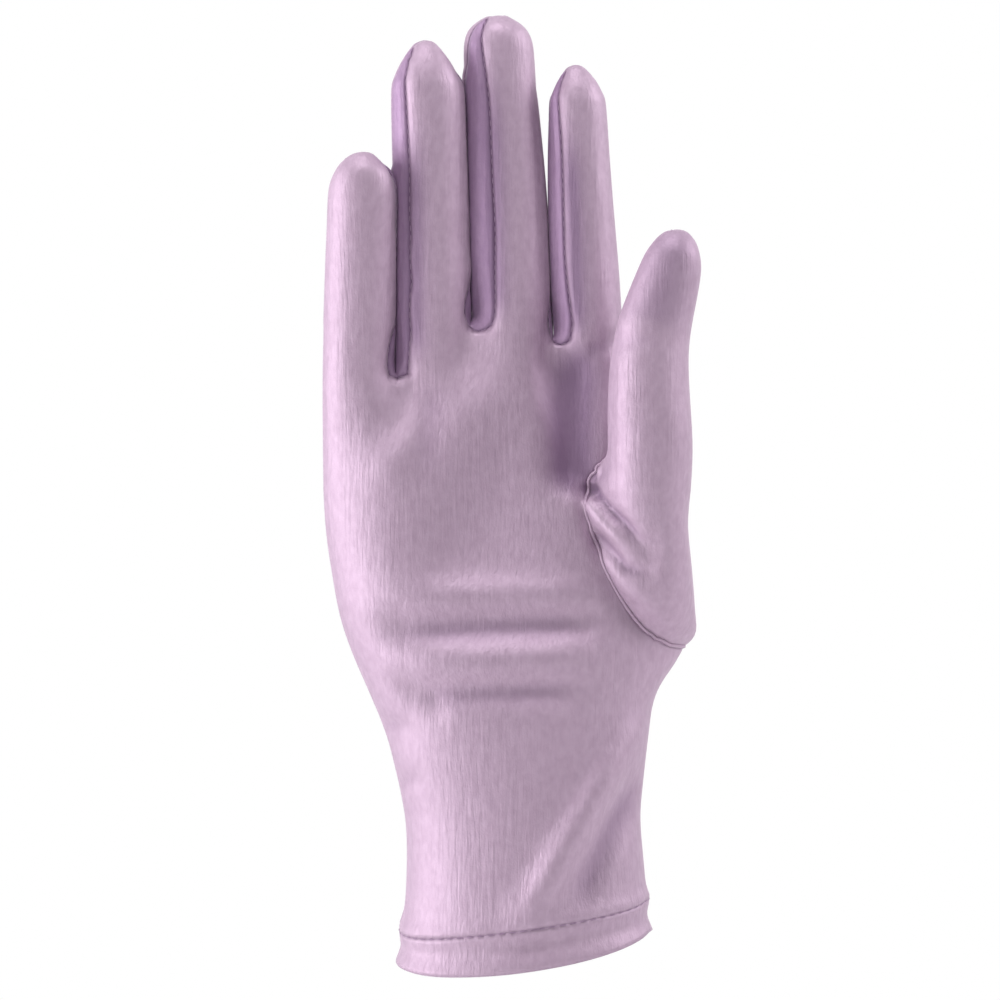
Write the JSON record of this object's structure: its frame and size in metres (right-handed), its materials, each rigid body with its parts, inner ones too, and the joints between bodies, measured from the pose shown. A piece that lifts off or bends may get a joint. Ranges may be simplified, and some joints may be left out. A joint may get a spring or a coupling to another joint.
{
  "type": "wrist length dress glove",
  "caption": "Right-hand wrist length dress glove in lilac stretch satin, in its worn form, with fourchettes between the fingers, a set-in thumb and a stitched hem.",
  "frame": {"origin": "the middle of the wrist opening, where the glove goes on over the hand", "axes": "+Z from the wrist to the fingertips, -Y out of the palm, +X towards the thumb"},
  "size_m": [0.094, 0.0479, 0.2393],
  "materials": {
    "satin": "satin",
    "hem_satin": "satin"
  },
  "bodies": {
    "root": {"palm_panel": "satin", "back_panel": "satin", "fourchette_little_ring": "satin", "fourchette_ring_middle": "satin", "fourchette_middle_index": "satin", "thumb": "satin", "wrist_hem": "hem_satin"}
  },
  "joints": []
}
